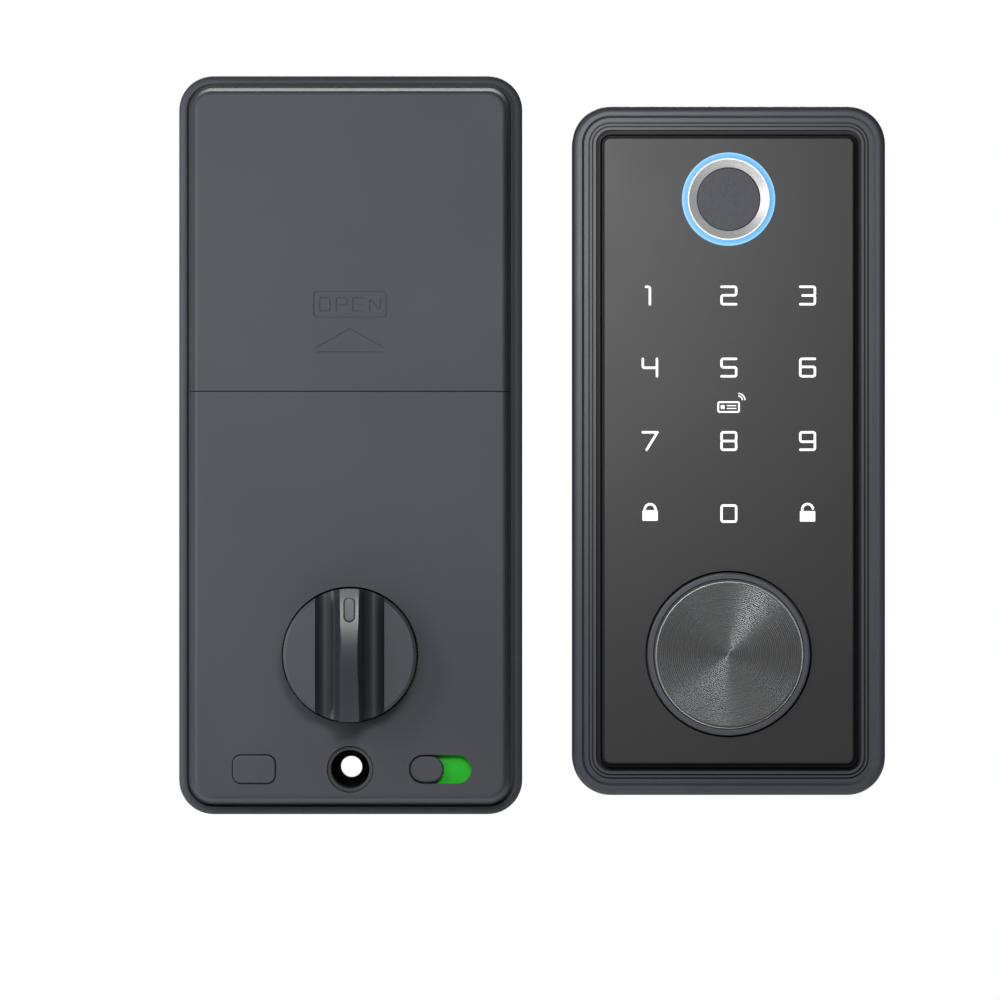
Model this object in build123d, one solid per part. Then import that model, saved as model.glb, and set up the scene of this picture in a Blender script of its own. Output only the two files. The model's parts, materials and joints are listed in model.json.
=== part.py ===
"""Keypad smart lock: the outside keypad unit and the inside thumbturn unit, side by side.

Millimetres. +Z is up and -Y faces the person in front. The back of each unit lies on the
plane y = 0, where it meets the door. The origin is the outside unit's key and spindle axis.
"""
from build123d import *

import os
from math import acos, atan2, cos, degrees, pi, radians, sin, tan

# ---- Driving dimensions: outside unit -------------------------------------------------
OUT_W, OUT_H, OUT_R = 68.1, 150.0, 8.3      # outline and its corner radius
OUT_Z = 44.3                                # height of the outline's middle above the axis
OUT_RIM_Y = -21.5                           # front of the outer rim
OUT_WALL = 2.2
GASKET_T = 1.0
BACK_PLATE_T = 1.5
SEAT_Y = -18.0                              # ledge that the glass panel rests on
LEDGE_T = 2.0
PANEL_T = 1.6
PANEL_GAP_INSET, PANEL_INSET = 6.5, 6.7     # pocket and panel, in from the outline
PANEL_Y = SEAT_Y - PANEL_T

# Frame steps, measured in from the outline: a step down from the rim, two fine grooves
# (outer and inner inset of each), a deep trench, and a thin lip beside the panel
RIM_INSET, STEP_INSET, STEP_Y = 2.05, 2.6, -20.6
FRAME_GROOVES = ((3.5, 3.85), (4.25, 4.6))
FRAME_GROOVE_Y = -20.0
TRENCH_INSET, TRENCH_Y = 5.15, -17.2
LIP_INSET, LIP_Y, LIP_DROP = 6.1, -19.2, 0.5

# ---- Driving dimensions: keypad and fingerprint reader -----------------------------------
COLUMNS = (-17.1, 0.05, 17.2)
ROWS = (78.1, 62.4, 46.4, 30.6)
GLYPH_X, GLYPH_Z = 1.59, 1.9                # half width and half height of a digit's line
GLYPH_LINE = 0.52
GLYPH_CORNER = 0.42
LOCK_W, LOCK_H, SHACKLE_R = 3.35, 2.3, 1.17 # padlock signs: body, and the shackle's middle line
LEGEND_T = 0.12
CARD_Z = 53.8
FINGER_Z = 99.1
SENSOR_R, BEZEL_R, LIGHT_R = 6.9, 8.9, 10.15

# ---- Driving dimensions: key cylinder and its cap ------------------------------------------
CAP_R, CUP_R = 17.75, 18.15
CAP_BACK_Y, CAP_FRONT_Y = -15.9, -20.8
CAP_DISC_R = 16.4
CAP_DISC_Y = -19.2
CUP_FLOOR_Y, CUP_BACK_Y = -15.6, -12.6
CYL_R, CYL_Z = 12.5, 3.0                    # the body sits above the plug, round the pins
CYL_FACE_Y, CYL_BACK_Y = -15.4, 9.5
PLUG_R, FIT = 6.4, 0.05
PIN_R, PIN_HOLE_R, PIN_COUNT = 1.4, 1.5, 5
PIN_PITCH, PIN_FIRST_Y = 4.0, -11.5
TAIL_W, TAIL_T, TAIL_END_Y = 6.0, 2.0, 55.0
MAGNET_R, MAGNET_T, MAGNET_RING = 1.6, 1.0, 15.8
MAGNET_ANGLES = (-15, -60, -120, -165)

# ---- Driving dimensions: fixings shared by both units ---------------------------------------
BOLT_X = 22.0                               # half the spacing of the two through bolts
POST_R, POST_TAP_R, POST_END_Y = 3.2, 2.1, 14.0
CABLE_X, CABLE_Z = 0.0, 22.0                # grommet in the outside back plate

# ---- Driving dimensions: inside unit ---------------------------------------------------------
INSIDE_X = -82.3                            # thumbturn axis, measured from the outside axis
IN_W, IN_H, IN_R = 74.7, 160.7, 7.5
IN_Z = 45.5
BASE_Y = -22.0                              # front of the base's rim
FACE_Y = -34.0                              # front of the covers
BASE_FLOOR_T = 4.2
BASE_WALL_INSET = 4.4
RIM_GROOVE = (1.65, 2.15)
COVER_INSET, FACE_INSET = 2.4, 3.7
COVER_T = 1.8
SEAM_Z, SEAM_GAP = 57.2, 0.2
PLATE_W, PLATE_H, PLATE_T, PLATE_Z = 50.6, 70.0, 2.0, 13.0
INSIDE_CABLE_X, INSIDE_CABLE_Z, INSIDE_CABLE_R = -19.0, 10.0, 4.0
COVER_SCREW_X, COVER_SCREW_ZS = 28.9, (-14.0, 52.2)
LOW_Z = -24.8                               # height of the button, screw hole and switch

BUTTON_X, BUTTON_W, BUTTON_H, BUTTON_R = -20.8, 9.2, 6.1, 1.8
BUTTON_GAP = 0.2
FIX_BORE_R, FIX_HEAD_R, FIX_RING_R = 2.35, 4.2, 5.06
SLOT_X, SLOT_W, SLOT_H = 19.5, 13.6, 6.3
SLIDER_W, SLIDER_H, SLIDER_TRAVEL = 7.4, 5.8, 5.8
SLIDER_LEG = 2.9                            # the leg stands this far left of the slider's middle

KNOB_R, KNOB_HOLE_R = 14.4, 14.8
KNOB_BACK_Y, KNOB_FLAT_Y, KNOB_CREST_Y = -33.2, -41.0, -48.0
CREST_X, GRIP_X, SCOOP_X = 1.95, 3.35, 7.5  # half widths: crest, grip's foot, scoop's edge
CREST_CURVE_R = 56.0
MARKER_Z, MARKER_W, MARKER_H = 9.9, 2.6, 5.55
SPINDLE_R, HUB_R = 4.0, 5.0

MODULE, PRESSURE = 0.5, radians(20)
DRIVE_TEETH, SECOND_BIG, SECOND_SMALL, FIRST_BIG, FIRST_SMALL, PINION_TEETH = 48, 40, 12, 40, 10, 10
SECOND_AT = (9.0, 12.0)                     # compound gear that drives the spindle's gear
FIRST_AT = (1.5, 22.0)                      # compound gear that the motor drives
MOTOR_AT = (9.0, 32.0)
CHASSIS_BACK = (-4.2, -5.6)
CHASSIS_FRONT = (-15.5, -16.8)
CHASSIS_POSTS = ((-10.8, -11.5), (11.0, -11.2), (17.5, 27.0), (15.5, 39.0), (-10.8, 36.0))
MOTOR_R, MOTOR_FLAT, MOTOR_LENGTH = 6.0, 10.0, 15.0
BOARD_BACK, BOARD_FRONT = -22.0, -23.6
BOARD_PILLARS = ((-22.6, -11.0), (22.6, -11.0), (-22.6, 17.0), (22.6, 17.0))

CELL_R, CELL_H, CELL_PITCH, CELL_Y = 7.25, 50.5, 14.9, -20.5
TRAY_X, TRAY_INNER_X = 31.4, 29.9
TRAY_LOW, TRAY_HIGH, TRAY_WALL = 58.2, 120.4, 1.8
TRAY_FRONT_Y = -25.4


# ---- Small tools -----------------------------------------------------------------------------
def sheet(depth):
    """Drawing plane parallel to the door: its x is X, its y is Z, and it faces -Y."""
    return Plane.XZ.offset(-depth)


def slab(outline, back, front):
    """A flat outline given thickness between two depths."""
    return extrude(sheet(max(back, front)) * outline, amount=abs(back - front))


def frustum(back_outline, back, front_outline, front):
    """A tapered slab between two outlines."""
    return loft([sheet(back) * back_outline, sheet(front) * front_outline], ruled=True)


def disc(x, z, radius, back, front):
    """A round bar along Y."""
    return slab(Pos(x, z) * Circle(radius), back, front)


def tube(x, z, outer, inner, back, front):
    """A round ring along Y."""
    return slab(Pos(x, z) * (Circle(outer) - Circle(inner)), back, front)


def rounded(x, z, width, height, radius):
    return Pos(x, z) * RectangleRounded(width, height, radius)


def block(x, z, width, height, back, front):
    """A box given by its middle in X and Z and its two depths."""
    return slab(Pos(x, z) * Rectangle(width, height), back, front)


def upright_bar(x, y, radius, low, high):
    """A round bar along Z."""
    return extrude(Plane.XY.offset(low) * Pos(x, y) * Circle(radius), amount=high - low)


def out_outline(inset):
    """The outside unit's outline, moved inwards."""
    radius = max(OUT_R - inset, 1.5)
    return rounded(0, OUT_Z, OUT_W - 2 * inset, OUT_H - 2 * inset, radius)


def in_outline(inset):
    """The inside unit's outline, moved inwards."""
    radius = max(IN_R - inset, 1.2)
    return rounded(0, IN_Z, IN_W - 2 * inset, IN_H - 2 * inset, radius)


def edges_at_depth(shape, depth):
    """The edges of a shape that lie wholly at one depth."""
    return [e for e in shape.edges() if abs(e.bounding_box().min.Y - depth) < 1e-3
            and abs(e.bounding_box().max.Y - depth) < 1e-3]


def stroke(points, width, corner):
    """A flat line of constant width through points, with rounded corners and ends."""
    path = FilletPolyline(*points, radius=corner) if len(points) > 2 else Line(*points)
    line = trace(path, width)
    for end in (points[0], points[-1]):
        line += Pos(*end) * Circle(width / 2)
    return line


def loop(half_x, half_z, width, corner):
    """A closed rounded rectangle of a flat line; the half sizes run to the line's middle."""
    outer = RectangleRounded(2 * half_x + width, 2 * half_z + width, corner + width / 2)
    return outer - RectangleRounded(2 * half_x - width, 2 * half_z - width, max(corner - width / 2, 0.1))


def screw(x, z, shank_r, head_r, under_head, head_end, tip):
    """A pan head screw along Y: the head runs from under_head to head_end."""
    slot_floor = (under_head + head_end) / 2
    head = disc(x, z, head_r, under_head, head_end)
    head -= block(x, z, head_r * 1.1, head_r * 0.3, slot_floor, head_end)
    return head + disc(x, z, shank_r, under_head, tip)


def spring(base, direction, radius, wire_r, length, turns):
    """A helical spring that starts at base and runs along direction."""
    start = Plane(origin=base, z_dir=direction)
    coil = Helix(pitch=length / turns, height=length, radius=radius)
    section = Plane(origin=coil @ 0, z_dir=coil % 0) * Circle(wire_r)
    return start.location * sweep(section, path=coil)


def group(solids):
    """Separate solids kept as one node."""
    return Compound([s for shape in solids for s in shape.solids()])


# ---- Outside unit: housing and keypad ---------------------------------------------------------
PLATE_SCREWS = [(x, OUT_Z + z) for x in (-27.8, 27.8) for z in (-68.1, 68.1)]
OUT_BOARD_SCREWS = [(x, z) for x in (-28.2, 28.2) for z in (30.0, 100.0)]
EAR_SCREWS = ((-11.5, -9.8), (11.5, -9.8))
OUT_BOARD_BACK, OUT_BOARD_FRONT = -8.0, -9.6


def outside_housing():
    """Die-cast frame: rounded rim, grooves, trench and lip round the panel, and the cap's cup."""
    body = slab(out_outline(0), -GASKET_T, OUT_RIM_Y)
    body = fillet(edges_at_depth(body, OUT_RIM_Y), 1.3)
    body -= slab(out_outline(OUT_WALL), -GASKET_T, SEAT_Y + LEDGE_T)
    body -= frustum(out_outline(STEP_INSET), STEP_Y, out_outline(RIM_INSET), OUT_RIM_Y)
    for outer, inner in FRAME_GROOVES:
        body -= slab(out_outline(outer) - out_outline(inner), FRAME_GROOVE_Y, STEP_Y)
    body -= slab(out_outline(LIP_INSET), LIP_Y, STEP_Y)
    body -= slab(out_outline(TRENCH_INSET) - out_outline(LIP_INSET), TRENCH_Y, STEP_Y)
    body -= frustum(out_outline(PANEL_GAP_INSET), LIP_Y + LIP_DROP, out_outline(LIP_INSET), LIP_Y)
    body -= slab(out_outline(PANEL_GAP_INSET), SEAT_Y, LIP_Y)
    body -= slab(rounded(0, 66.25, 49, 88.5, 2), SEAT_Y + LEDGE_T, SEAT_Y)
    body += disc(0, 0, CUP_R + 2.2, CUP_BACK_Y, SEAT_Y)
    for x in (-BOLT_X, BOLT_X):
        body += disc(x, 0, 4.4, -GASKET_T - BACK_PLATE_T, SEAT_Y + LEDGE_T)
    for x, z in PLATE_SCREWS:
        body += disc(x, z, 3.2, -GASKET_T - BACK_PLATE_T, SEAT_Y + LEDGE_T)
    for x, z in OUT_BOARD_SCREWS:
        body += disc(x, z, 2.6, OUT_BOARD_FRONT, SEAT_Y + LEDGE_T)
    body -= disc(0, 0, CUP_R, CUP_FLOOR_Y, SEAT_Y)
    body -= disc(0, CYL_Z, CYL_R + FIT, CUP_BACK_Y, CUP_FLOOR_Y)
    for x in (-BOLT_X, BOLT_X):
        body -= disc(x, 0, POST_R + FIT, -GASKET_T - BACK_PLATE_T, -9)
    for x, z in PLATE_SCREWS:
        body -= disc(x, z, 1.25, -GASKET_T - BACK_PLATE_T, -12)
    for x, z in OUT_BOARD_SCREWS:
        body -= disc(x, z, 0.9, OUT_BOARD_FRONT, -14.5)
    for x, z in EAR_SCREWS:
        body -= disc(x, z, 1.25, CUP_BACK_Y, -14.6)
    for x, z in magnet_places():
        body -= disc(x, z, MAGNET_R + FIT, CUP_FLOOR_Y + MAGNET_T, CUP_FLOOR_Y)
    return body


def magnet_places():
    """Where the cap's magnets and the housing's magnets face each other."""
    turns = [radians(a) for a in MAGNET_ANGLES]
    return [(MAGNET_RING * cos(a), MAGNET_RING * sin(a)) for a in turns]


def touch_panel():
    """Tinted glass over the keypad, with round openings for the reader and the cap."""
    panel = slab(out_outline(PANEL_INSET), SEAT_Y, PANEL_Y)
    panel = chamfer(edges_at_depth(panel, PANEL_Y), 0.35)
    panel -= disc(0, 0, CUP_R, SEAT_Y, PANEL_Y)
    panel -= disc(0, FINGER_Z, LIGHT_R + 0.1, SEAT_Y, PANEL_Y)
    return panel


def digit_lines():
    """The open lines of each digit from 1 to 9, about the digit's middle."""
    x, z = GLYPH_X, GLYPH_Z
    return {
        1: [[(-0.9, z), (-0.05, z), (-0.05, -z)]],
        2: [[(-x, z), (x, z), (x, 0.05), (-x, 0.05), (-x, -z), (x, -z)]],
        3: [[(-x, z), (x, z), (x, 0), (-x + 0.5, 0)], [(-x + 0.5, 0), (x, 0), (x, -z), (-x, -z)]],
        4: [[(-x, z), (-x, -0.05), (x - 0.1, -0.05)], [(x - 0.1, z), (x - 0.1, -z)]],
        5: [[(x, z), (-x, z), (-x, 0.05), (x, 0.05), (x, -z), (-x, -z)]],
        6: [[(x, z), (-x, z), (-x, -0.5)]],
        7: [[(-x, z), (x, z)], [(x, z), (-0.75, -z)]],
        9: [[(-x, -z), (x, -z), (x, 0.5)]],
    }


def digit_loops(number):
    """The closed lines of 6, 8, 9 and 0: one ring each, and two that meet for the 8."""
    z = GLYPH_Z
    spans = {6: [(-z, 0.15)], 8: [(-z, 0), (0, z)], 9: [(-0.15, z)], 0: [(0.15 - z, z - 0.15)]}
    return [Pos(0, (low + high) / 2) * loop(GLYPH_X, (high - low) / 2, GLYPH_LINE, GLYPH_CORNER)
            for low, high in spans.get(number, [])]


def padlock(closed):
    """A padlock sign: a filled body and a bent shackle, open on one side or closed."""
    body_z = -0.43 if closed else -0.6
    body_top = body_z + LOCK_H / 2
    bend_z = body_top + (0.15 if closed else 0.35)
    sign = Pos(0, body_z) * RectangleRounded(LOCK_W, LOCK_H, 0.2)
    arc = CenterArc((0, bend_z), SHACKLE_R, 180, -180 if closed else -170)
    sign += trace(arc, GLYPH_LINE)
    sign += stroke([(-SHACKLE_R, body_z), (-SHACKLE_R, bend_z)], GLYPH_LINE, 0)
    if closed:
        return sign + stroke([(SHACKLE_R, body_z), (SHACKLE_R, bend_z)], GLYPH_LINE, 0)
    return sign + Pos((arc @ 1).X, (arc @ 1).Y) * Circle(GLYPH_LINE / 2)


def card_sign():
    """A card with plain bars, and two radio arcs at its corner."""
    sign = RectangleRounded(4.9, 2.5, 0.5) - RectangleRounded(4.15, 1.75, 0.2)
    sign += Pos(-1.3, 0) * RectangleRounded(0.85, 0.85, 0.15)
    for z in (-0.3, 0.3):
        sign += stroke([(-0.3, z), (1.6, z)], 0.22, 0)
    for radius in (0.9, 1.45):
        sign += trace(CenterArc((2.1, 1.5), radius, 0, 90), 0.26)
    return sign


def keypad_legends():
    """The printed digits and signs, a thin layer on the glass."""
    signs = []
    for number in range(1, 10):
        row, column = divmod(number - 1, 3)
        sign = Sketch()
        for points in digit_lines().get(number, []):
            sign += stroke(points, GLYPH_LINE, GLYPH_CORNER)
        for ring in digit_loops(number):
            sign += ring
        signs.append(Pos(COLUMNS[column], ROWS[row]) * sign)
    signs.append(Pos(COLUMNS[1], ROWS[3]) * digit_loops(0)[0])
    signs.append(Pos(COLUMNS[0], ROWS[3]) * padlock(closed=True))
    signs.append(Pos(COLUMNS[2], ROWS[3]) * padlock(closed=False))
    signs.append(Pos(0, CARD_Z) * card_sign())
    return group([slab(sign, PANEL_Y, PANEL_Y - LEGEND_T) for sign in signs])


def fingerprint_parts():
    """Light ring, chamfered metal bezel, sensor and its round board."""
    back = -16.5
    bezel = tube(0, FINGER_Z, BEZEL_R, SENSOR_R + FIT, back, -20.0)
    bezel -= frustum(Pos(0, FINGER_Z) * Circle(SENSOR_R + FIT), -19.2,
                     Pos(0, FINGER_Z) * Circle(BEZEL_R - 0.25), -20.0)
    sensor = disc(0, FINGER_Z, SENSOR_R, back, -19.1)
    sensor = fillet(edges_at_depth(sensor, -19.1), 0.25)
    board = disc(0, FINGER_Z, 11.2, -15.1, back) + block(0, FINGER_Z, 7, 7, -14.0, -15.1)
    return {
        "fingerprint_light_ring": tube(0, FINGER_Z, LIGHT_R, BEZEL_R + FIT, back, -19.75),
        "fingerprint_bezel": bezel,
        "fingerprint_sensor": sensor,
        "fingerprint_board": board,
    }


def keypad_electronics():
    """Layers behind the glass: touch board, light guide, card coil, and the main board."""
    middle = 54.5
    board = block(0, 66.5, 62, 85, OUT_BOARD_BACK, OUT_BOARD_FRONT)
    for x, z in OUT_BOARD_SCREWS:
        board -= disc(x, z, 1.15, OUT_BOARD_BACK, OUT_BOARD_FRONT)
    board += block(-8, 60, 10, 10, OUT_BOARD_BACK + 1.2, OUT_BOARD_BACK)
    board += block(12, 62, 6, 5, OUT_BOARD_BACK + 1.0, OUT_BOARD_BACK)
    board += block(0, 32, 12, 5, OUT_BOARD_BACK + 4.0, OUT_BOARD_BACK)
    coil = rounded(0, middle, 42, 56, 4) - rounded(0, middle, 36, 50, 2)
    guide = slab(rounded(0, middle, 44, 58, 2), -14.0, -16.8)
    for x in COLUMNS:
        for z in ROWS:
            guide -= disc(x, z, 1.6, -14.0, -15.2)
    return {
        "touch_board": slab(rounded(0, middle, 47, 63, 1), -16.8, SEAT_Y),
        "keypad_light_guide": guide,
        "card_reader_coil": slab(coil, -13.4, -14.0),
        "outside_board": board,
    }


def outside_screws():
    """Screws of the back plate, the board and the key cylinder."""
    screws = [screw(x, z, 1.2, 2.4, -GASKET_T, -0.1, -11.5) for x, z in PLATE_SCREWS]
    screws += [screw(x, z, 0.85, 2.0, OUT_BOARD_BACK, OUT_BOARD_BACK + 1.2, -13.5)
               for x, z in OUT_BOARD_SCREWS]
    screws += [screw(x, z, 1.2, 2.5, CUP_BACK_Y + 2.0, CUP_BACK_Y + 3.4, -14.4)
               for x, z in EAR_SCREWS]
    return group(screws)


def outside_back():
    """Back plate with its gasket, cable grommet and the two threaded posts."""
    plate_front = -GASKET_T - BACK_PLATE_T
    plate = slab(out_outline(OUT_WALL + 0.2), -GASKET_T, plate_front)
    plate -= disc(0, CYL_Z, CYL_R + 0.3, -GASKET_T, plate_front)
    plate -= disc(CABLE_X, CABLE_Z, 4.6, -GASKET_T, plate_front)
    for x in (-BOLT_X, BOLT_X):
        plate -= disc(x, 0, POST_R + 0.2, -GASKET_T, plate_front)
    for x, z in PLATE_SCREWS:
        plate -= disc(x, z, 1.6, -GASKET_T, plate_front)
    posts = [disc(x, 0, POST_R, POST_END_Y, -9) - disc(x, 0, POST_TAP_R, POST_END_Y, -4)
             for x in (-BOLT_X, BOLT_X)]
    grommet = tube(CABLE_X, CABLE_Z, 4.55, 3.0, -0.2, plate_front - 1.1)
    grommet += tube(CABLE_X, CABLE_Z, 6.0, 3.0, -0.2, -GASKET_T)
    grommet += tube(CABLE_X, CABLE_Z, 6.0, 3.0, plate_front, plate_front - 1.1)
    return {
        "outside_back_plate": plate,
        "outside_gasket": slab(out_outline(0.4) - out_outline(3.2), 0, -GASKET_T),
        "mounting_posts": group(posts),
        "cable_grommet": grommet,
    }


# ---- Outside unit: key cylinder and its cap ----------------------------------------------------
def pin_depths():
    return [PIN_FIRST_Y + PIN_PITCH * i for i in range(PIN_COUNT)]


def key_cylinder():
    """Emergency key cylinder: body, turning plug, pins, springs, tailpiece and its clip."""
    body = disc(0, CYL_Z, CYL_R, CYL_BACK_Y, CYL_FACE_Y)
    ears = make_hull([(Pos(0, CYL_Z) * Circle(14.0)).edge()]
                     + [(Pos(x, z) * Circle(3.4)).edge() for x, z in EAR_SCREWS])
    body += slab(ears, CUP_BACK_Y + 2.0, CUP_BACK_Y)
    for x, z in EAR_SCREWS:
        body -= disc(x, z, 1.5, CUP_BACK_Y + 2.0, CUP_BACK_Y)
    body -= disc(0, 0, PLUG_R + FIT, CYL_BACK_Y, CYL_FACE_Y)
    plug = disc(0, 0, PLUG_R, CYL_BACK_Y + 1.5, CYL_FACE_Y)
    plug -= tube(0, 0, PLUG_R + 1, PLUG_R - 0.85, CYL_BACK_Y + 0.7, CYL_BACK_Y + 0.05)
    plug -= block(0, -0.9, 1.5, 8.2, 5.0, CYL_FACE_Y)
    plug -= block(0, 0, TAIL_T + 0.2, TAIL_W + 0.2, CYL_BACK_Y + 1.5, 6.5)
    retainer = tube(0, 0, 8.4, PLUG_R - 0.8, CYL_BACK_Y + 0.65, CYL_BACK_Y + 0.1)
    retainer -= block(0, -8, 5, 12, CYL_BACK_Y + 0.65, CYL_BACK_Y + 0.1)
    key_pins, driver_pins, springs = [], [], []
    for y in pin_depths():
        body -= upright_bar(0, y, PIN_HOLE_R, 5.5, 14.0)
        plug -= upright_bar(0, y, PIN_HOLE_R, 0.8, 7.0)
        key_pins.append(upright_bar(0, y, PIN_R, 1.2, 6.15))
        driver_pins.append(upright_bar(0, y, PIN_R, 6.55, 10.0))
        springs.append(spring((0, y, 10.15), (0, 0, 1), 1.05, 0.15, 3.7, 4))
    return {
        "cylinder_body": body,
        "key_plug": plug,
        "key_pins": group(key_pins),
        "driver_pins": group(driver_pins),
        "pin_springs": group(springs),
        "tailpiece": block(0, 0, TAIL_T, TAIL_W, TAIL_END_Y, 6.6),
        "plug_retainer": retainer,
    }


def keyhole_cap():
    """Round cap over the keyhole: rim, turned metal disc, and magnets that hold it."""
    rim = disc(0, 0, CAP_R, CAP_BACK_Y, CAP_FRONT_Y)
    rim = fillet(edges_at_depth(rim, CAP_FRONT_Y), 0.45)
    rim -= disc(0, 0, CAP_DISC_R + FIT, CAP_DISC_Y, CAP_FRONT_Y)
    rim -= disc(0, 0, 13.9, CAP_BACK_Y, CAP_BACK_Y - 2.3)
    for x, z in magnet_places():
        rim -= disc(x, z, MAGNET_R + FIT, CAP_BACK_Y, CAP_BACK_Y - MAGNET_T)
    face = disc(0, 0, CAP_DISC_R, CAP_DISC_Y, CAP_DISC_Y - 1.2)
    face = chamfer(edges_at_depth(face, CAP_DISC_Y - 1.2), 0.2)
    return {
        "keyhole_cap_rim": rim,
        "keyhole_cap_disc": face,
        "cap_magnets": group([disc(x, z, MAGNET_R, CAP_BACK_Y, CAP_BACK_Y - MAGNET_T)
                              for x, z in magnet_places()]),
        "housing_magnets": group([disc(x, z, MAGNET_R, CUP_FLOOR_Y + MAGNET_T, CUP_FLOOR_Y)
                                  for x, z in magnet_places()]),
    }


# ---- Inside unit: base and covers ---------------------------------------------------------------
def inside_base():
    """Deep tray against the door, with a grooved rim, bosses and the fixing screw's tube."""
    base = slab(in_outline(0), 0, BASE_Y)
    base = fillet(edges_at_depth(base, BASE_Y), 1.3)
    base -= slab(in_outline(BASE_WALL_INSET), -BASE_FLOOR_T, BASE_Y)
    base -= slab(in_outline(RIM_GROOVE[0]) - in_outline(RIM_GROOVE[1]), BASE_Y + 1.6, BASE_Y)
    base += disc(0, LOW_Z, 5.9, 0, BASE_Y)
    base += disc(0, LOW_Z, FIX_RING_R - 0.15, BASE_Y, FACE_Y + 0.9)
    for z in COVER_SCREW_ZS:
        for x in (-COVER_SCREW_X, COVER_SCREW_X):
            base += disc(x, z, 3.6, 0, -18)
            base -= disc(x, z, 1.6, 0, -18)
            base -= disc(x, z, 2.95, 0, -2.4)
    for x, z in BOARD_PILLARS:
        base += disc(x, z, 2.0, -BASE_FLOOR_T + 0.5, BOARD_BACK)
        base -= disc(x, z, 0.8, -14, BOARD_BACK)
    base -= slab(rounded(0, PLATE_Z, PLATE_W + 0.6, PLATE_H + 0.6, 5), 0, -PLATE_T - 0.2)
    base -= disc(0, 0, 6.1, 0, -BASE_FLOOR_T)
    base -= disc(INSIDE_CABLE_X, INSIDE_CABLE_Z, INSIDE_CABLE_R, 0, -BASE_FLOOR_T)
    for x in (-BOLT_X, BOLT_X):
        base -= disc(x, 0, 5.2, 0, -BASE_FLOOR_T)
    base -= disc(0, LOW_Z, FIX_BORE_R, 0, -8)
    base -= disc(0, LOW_Z, FIX_HEAD_R, -8, FACE_Y)
    return base


def cover_shell():
    """The whole front shell before it is parted into the battery cover and lower cover."""
    outer = frustum(in_outline(COVER_INSET), BASE_Y, in_outline(FACE_INSET), FACE_Y)
    outer = fillet(edges_at_depth(outer, FACE_Y), 0.9)
    return outer - cover_hollow()


def cover_hollow():
    return frustum(in_outline(COVER_INSET + COVER_T), BASE_Y,
                   in_outline(FACE_INSET + COVER_T), FACE_Y + COVER_T)


def band(low, high, back=5.0):
    """A wide block between two heights, used to part the shell."""
    return block(0, (low + high) / 2, IN_W + 10, high - low, back, FACE_Y - 5)


def inside_cover():
    """Lower cover, with openings for thumbturn, button, fixing screw and switch."""
    low_end, top = IN_Z - IN_H, SEAM_Z - SEAM_GAP
    cover = cover_shell() & band(low_end, top)
    cover += cover_hollow() & band(top - 1.8, top)
    for z in COVER_SCREW_ZS:
        for x in (-COVER_SCREW_X, COVER_SCREW_X):
            cover += disc(x, z, 3.2, -18, FACE_Y + COVER_T)
            cover -= disc(x, z, 1.2, -18, -28)
    cover -= disc(0, 0, KNOB_HOLE_R, BASE_Y, FACE_Y)
    cover -= disc(0, LOW_Z, FIX_RING_R, BASE_Y, FACE_Y)
    cover -= slab(rounded(BUTTON_X, LOW_Z, BUTTON_W + 2 * BUTTON_GAP, BUTTON_H + 2 * BUTTON_GAP,
                          BUTTON_R + BUTTON_GAP), BASE_Y, FACE_Y)
    cover -= slab(Pos(SLOT_X, LOW_Z) * SlotOverall(SLOT_W, SLOT_H), BASE_Y, FACE_Y)
    return cover


def letter_lines():
    """The open lines of the letters P, E and N."""
    x, z = 1.15, 1.45
    return (
        [[(-x, -z), (-x, z)], [(-x, z), (x, z), (x, -0.1), (-x, -0.1)]],
        [[(x, z), (-x, z), (-x, -z), (x, -z)], [(-x, 0), (x * 0.8, 0)]],
        [[(-x, -z), (-x, z), (x, -z), (x, z)]],
    )


def battery_cover():
    """Upper cover: slides up off the batteries on two rails."""
    gap_y = BASE_Y - 0.3
    cover = cover_shell() & band(SEAM_Z, IN_Z + IN_H, back=gap_y)
    rail_z = (60.0 + 119.0) / 2
    for side in (-1, 1):
        cover += block(side * 32.5, rail_z, 1.6, 59, -22.6, -23.8)
    line, depth, pitch = 0.3, 0.22, 3.62
    frame_z, arrow_z = 75.9, 65.6
    marks = [Pos(0, frame_z) * loop(7.85, 2.8, line, 0.85)]
    marks.append(Pos(-1.5 * pitch, frame_z) * loop(1.15, 1.45, line, 0.5))
    for index, lines in enumerate(letter_lines()):
        for points in lines:
            marks.append(Pos(pitch * (index - 0.5), frame_z) * stroke(points, line, 0.25))
    marks.append(stroke([(-7.1, arrow_z), (7.1, arrow_z)], line, 0))
    marks.append(stroke([(-7.25, arrow_z + 1.0), (0, arrow_z + 5.1), (7.25, arrow_z + 1.0)], line, 0.3))
    for mark in marks:
        cover -= slab(mark, FACE_Y + depth, FACE_Y)
    return cover


def inside_screws():
    """Screws of the lower cover, the gear plates and the main board."""
    screws = [screw(x, z, 1.15, 2.8, -2.4, -0.6, -26)
              for x in (-COVER_SCREW_X, COVER_SCREW_X) for z in COVER_SCREW_ZS]
    screws += [screw(*place, 1.12, 2.0, CHASSIS_FRONT[1], CHASSIS_FRONT[1] - 1.4, -4.4)
               for place in CHASSIS_POSTS]
    screws += [screw(x, z, 0.78, 1.9, BOARD_FRONT, BOARD_FRONT - 1.2, -15) for x, z in BOARD_PILLARS]
    return group(screws)


def inside_mounting_plate():
    """Steel plate that bolts to the door, with openings for spindle and cable."""
    plate = slab(rounded(0, PLATE_Z, PLATE_W, PLATE_H, 4.7), 0, -PLATE_T)
    plate -= disc(0, 0, 8.0, 0, -PLATE_T)
    plate -= disc(INSIDE_CABLE_X, INSIDE_CABLE_Z, INSIDE_CABLE_R, 0, -PLATE_T)
    for x in (-BOLT_X, BOLT_X):
        plate -= disc(x, 0, 2.75, 0, -PLATE_T)
    return plate


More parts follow.
